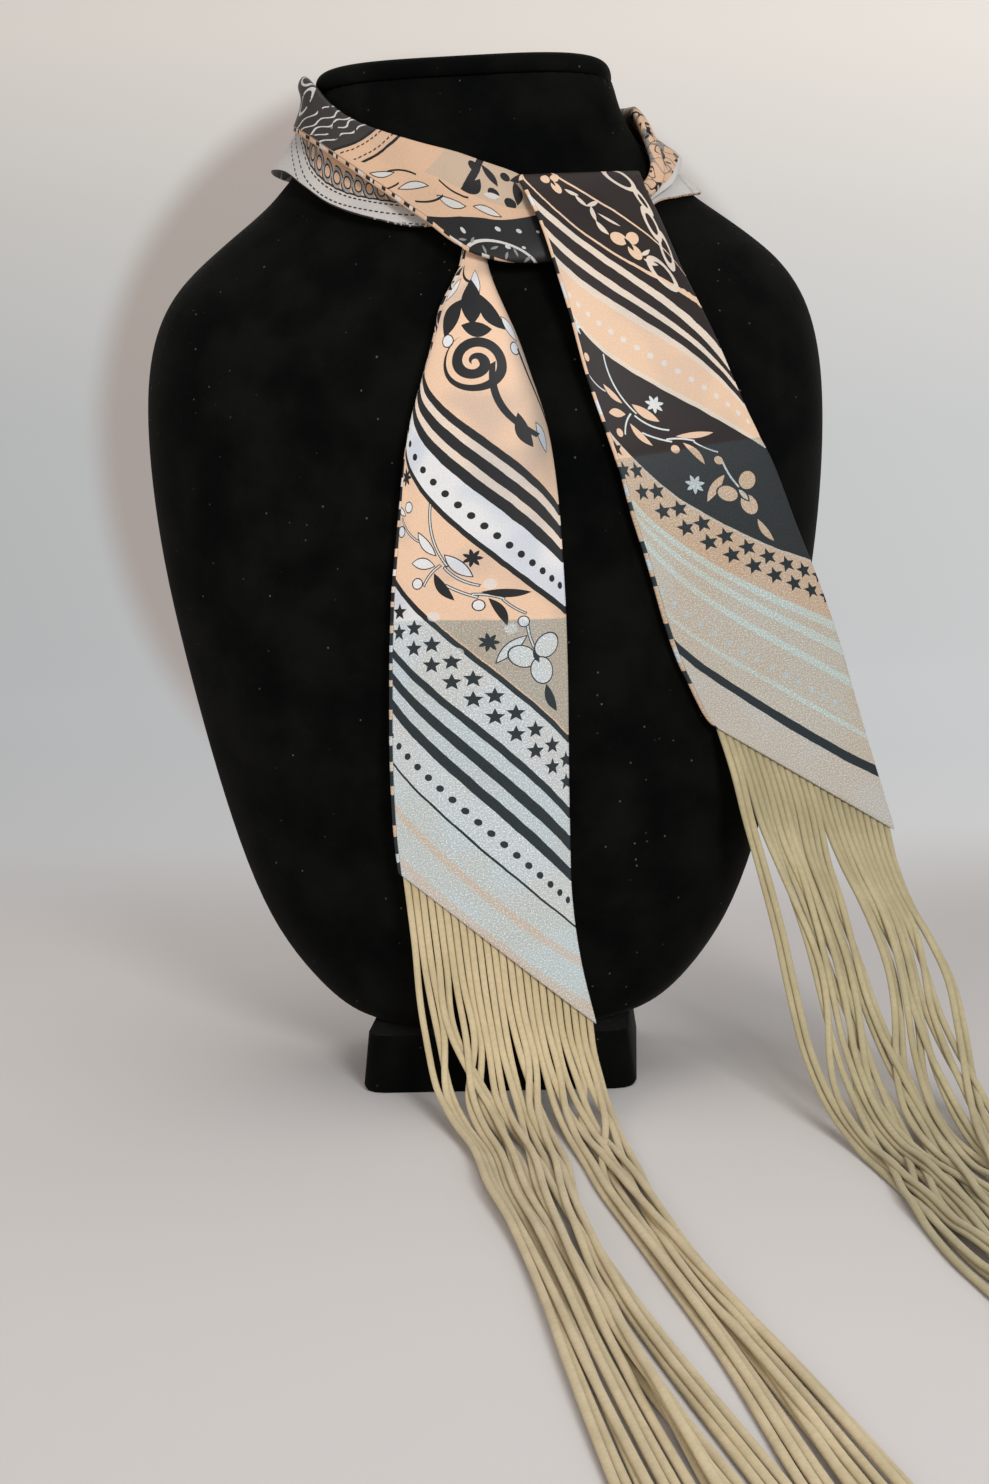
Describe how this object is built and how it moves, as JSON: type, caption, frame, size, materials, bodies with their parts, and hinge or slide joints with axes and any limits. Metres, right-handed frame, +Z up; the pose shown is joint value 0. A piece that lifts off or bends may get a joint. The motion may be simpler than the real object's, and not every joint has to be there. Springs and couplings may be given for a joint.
{
  "type": "skinny neck scarf on a limbless display bust",
  "caption": "Narrow satin scarf with long cord fringe, wound once and half knotted round the neck of a velvet display bust.",
  "frame": {"origin": "middle of the foot's bottom face, on the surface that the bust stands on", "axes": "+Z up; -Y is the front of the bust, where the scarf is knotted; +X is the viewer's right"},
  "size_m": [0.2779, 0.3703, 0.3041],
  "materials": {
    "satin": "printed satin with a cool sheen",
    "suede_cord": "matt flat suede-like cord",
    "velvet": "black velvet"
  },
  "bodies": {
    "root": {"collar_left": "satin", "collar_right": "satin", "tail_left": "satin", "tail_right": "satin", "fringe_left": "suede_cord", "fringe_right": "suede_cord", "bust_body": "velvet", "bust_cap": "velvet", "bust_foot": "velvet"}
  },
  "joints": []
}
